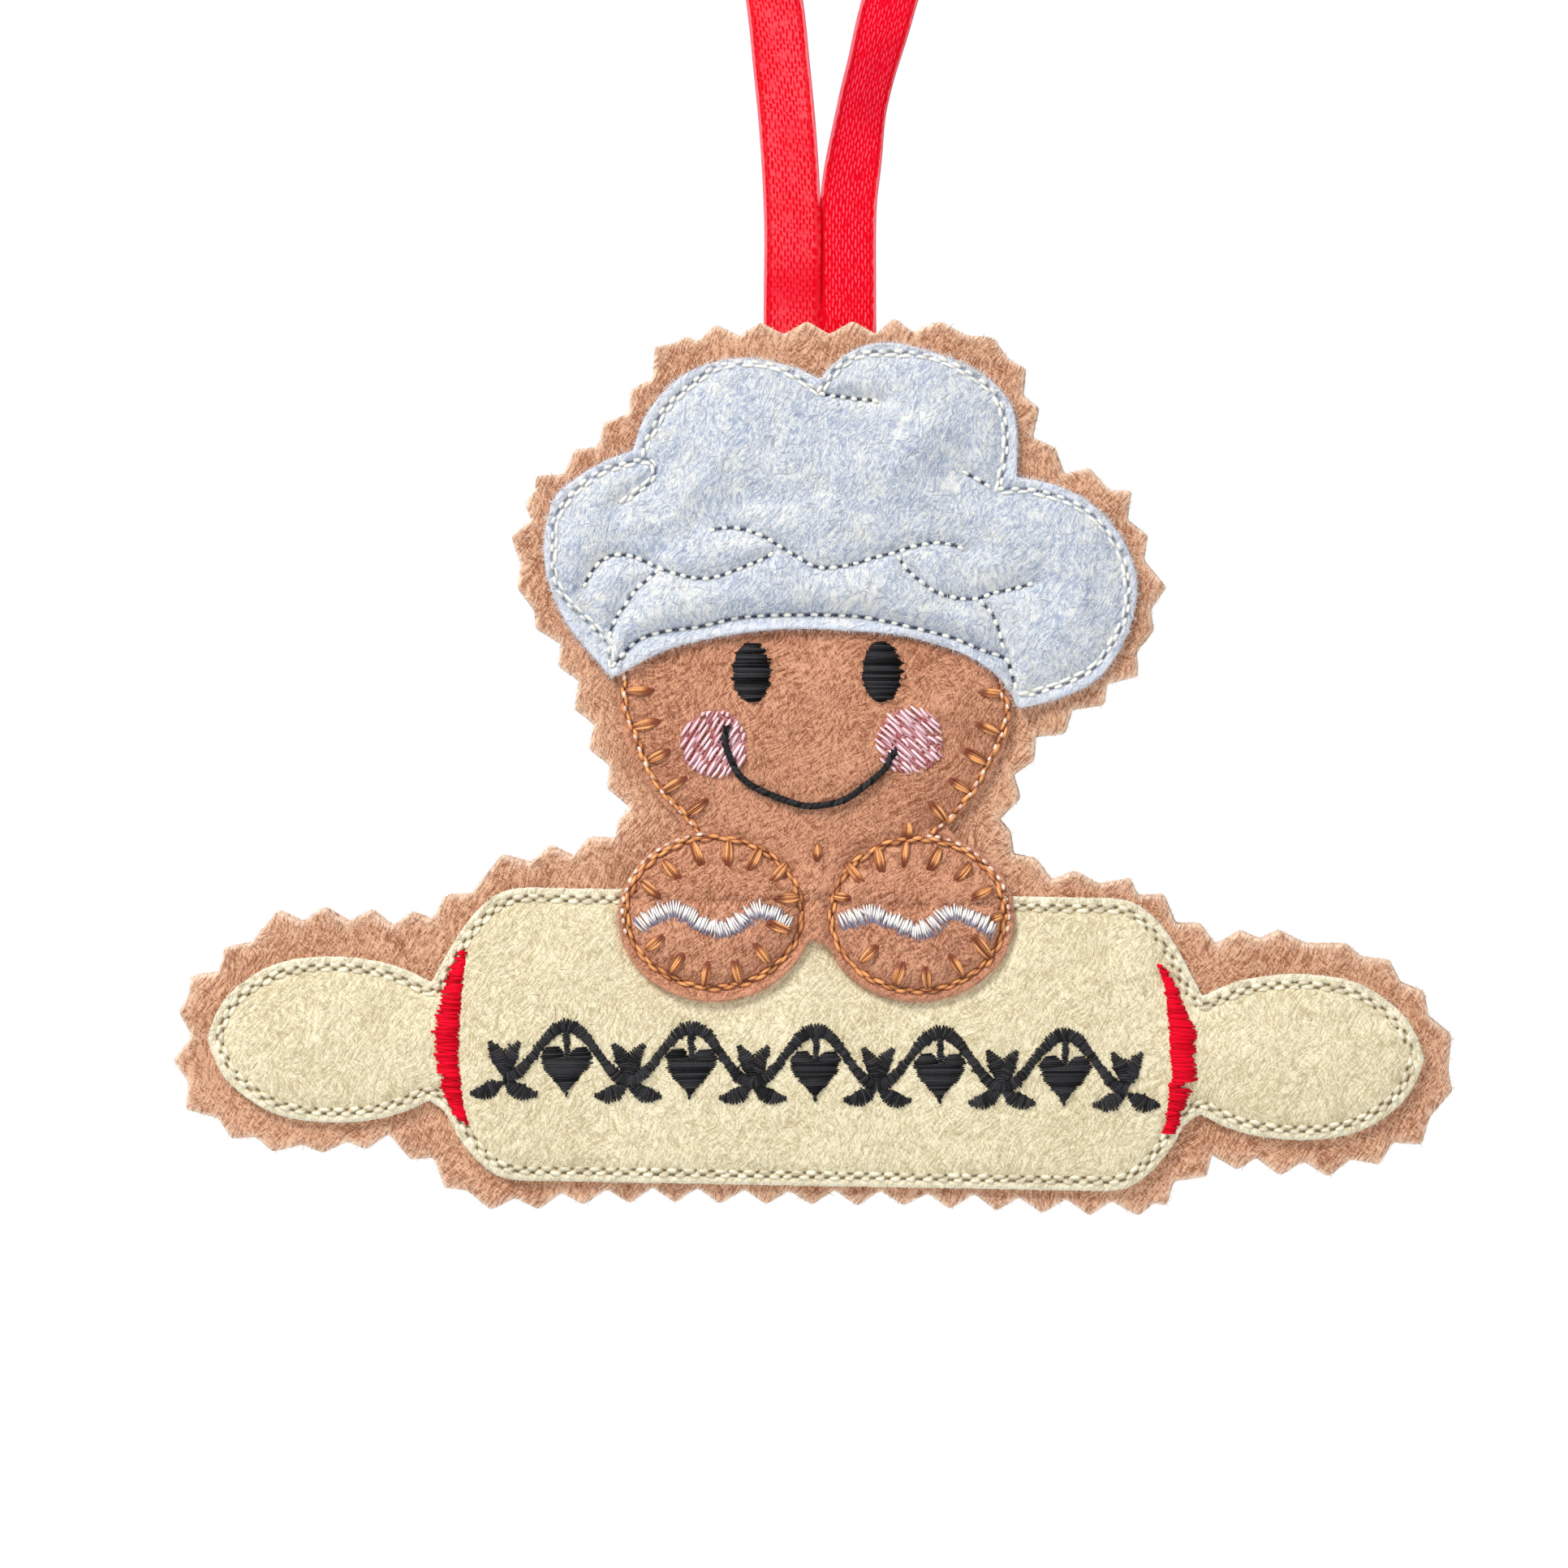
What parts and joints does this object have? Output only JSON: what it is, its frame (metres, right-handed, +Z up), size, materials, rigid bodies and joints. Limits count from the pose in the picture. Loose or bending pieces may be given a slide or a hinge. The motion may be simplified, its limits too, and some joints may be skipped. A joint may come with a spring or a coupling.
{
  "type": "hanging felt decoration",
  "caption": "Embroidered felt Christmas decoration: a gingerbread baker with a rolling pin on a pinked felt base, hung from a satin ribbon loop.",
  "frame": {"origin": "inside of the ribbon loop's top, where a hook or a twig carries the decoration", "axes": "+Z up, the embroidered front faces -Y, +X to the right seen from the front"},
  "size_m": [0.1422, 0.0095, 0.1612],
  "materials": {
    "satin_ribbon": "single-faced satin with woven selvedges",
    "tan_felt": "pressed felt, matt and fibrous",
    "stabiliser": "thin nonwoven sheet",
    "cream_felt": "pressed felt, matt and fibrous",
    "gingerbread_felt": "pressed felt, matt and fibrous",
    "blue_felt": "pressed felt, mottled and puffed",
    "black_thread": "embroidery thread with a soft shine",
    "pink_thread": "embroidery thread with a soft shine",
    "white_thread": "embroidery thread with a soft shine",
    "red_thread": "embroidery thread with a soft shine"
  },
  "bodies": {
    "ribbon": {"ribbon_loop": "satin_ribbon"},
    "decoration": {"ribbon_tail_left": "satin_ribbon", "ribbon_tail_right": "satin_ribbon", "front_felt": "tan_felt", "back_felt": "tan_felt", "stabiliser_sheet": "stabiliser", "rolling_pin_felt": "cream_felt", "gingerbread_felt": "gingerbread_felt", "hat_felt": "blue_felt", "eye_left": "black_thread", "eye_right": "black_thread", "cheek_left": "pink_thread", "cheek_right": "pink_thread", "smile": "black_thread", "icing_left": "white_thread", "icing_right": "white_thread", "pin_band_left": "red_thread", "pin_band_right": "red_thread"}
  },
  "joints": [
    {"name": "ribbon_fold", "type": "hinge", "parent": "ribbon", "child": "decoration", "pos_m": [0, 0, -0.06], "axis": [1, 0, 0], "range_deg": [-120, 120]}
  ]
}
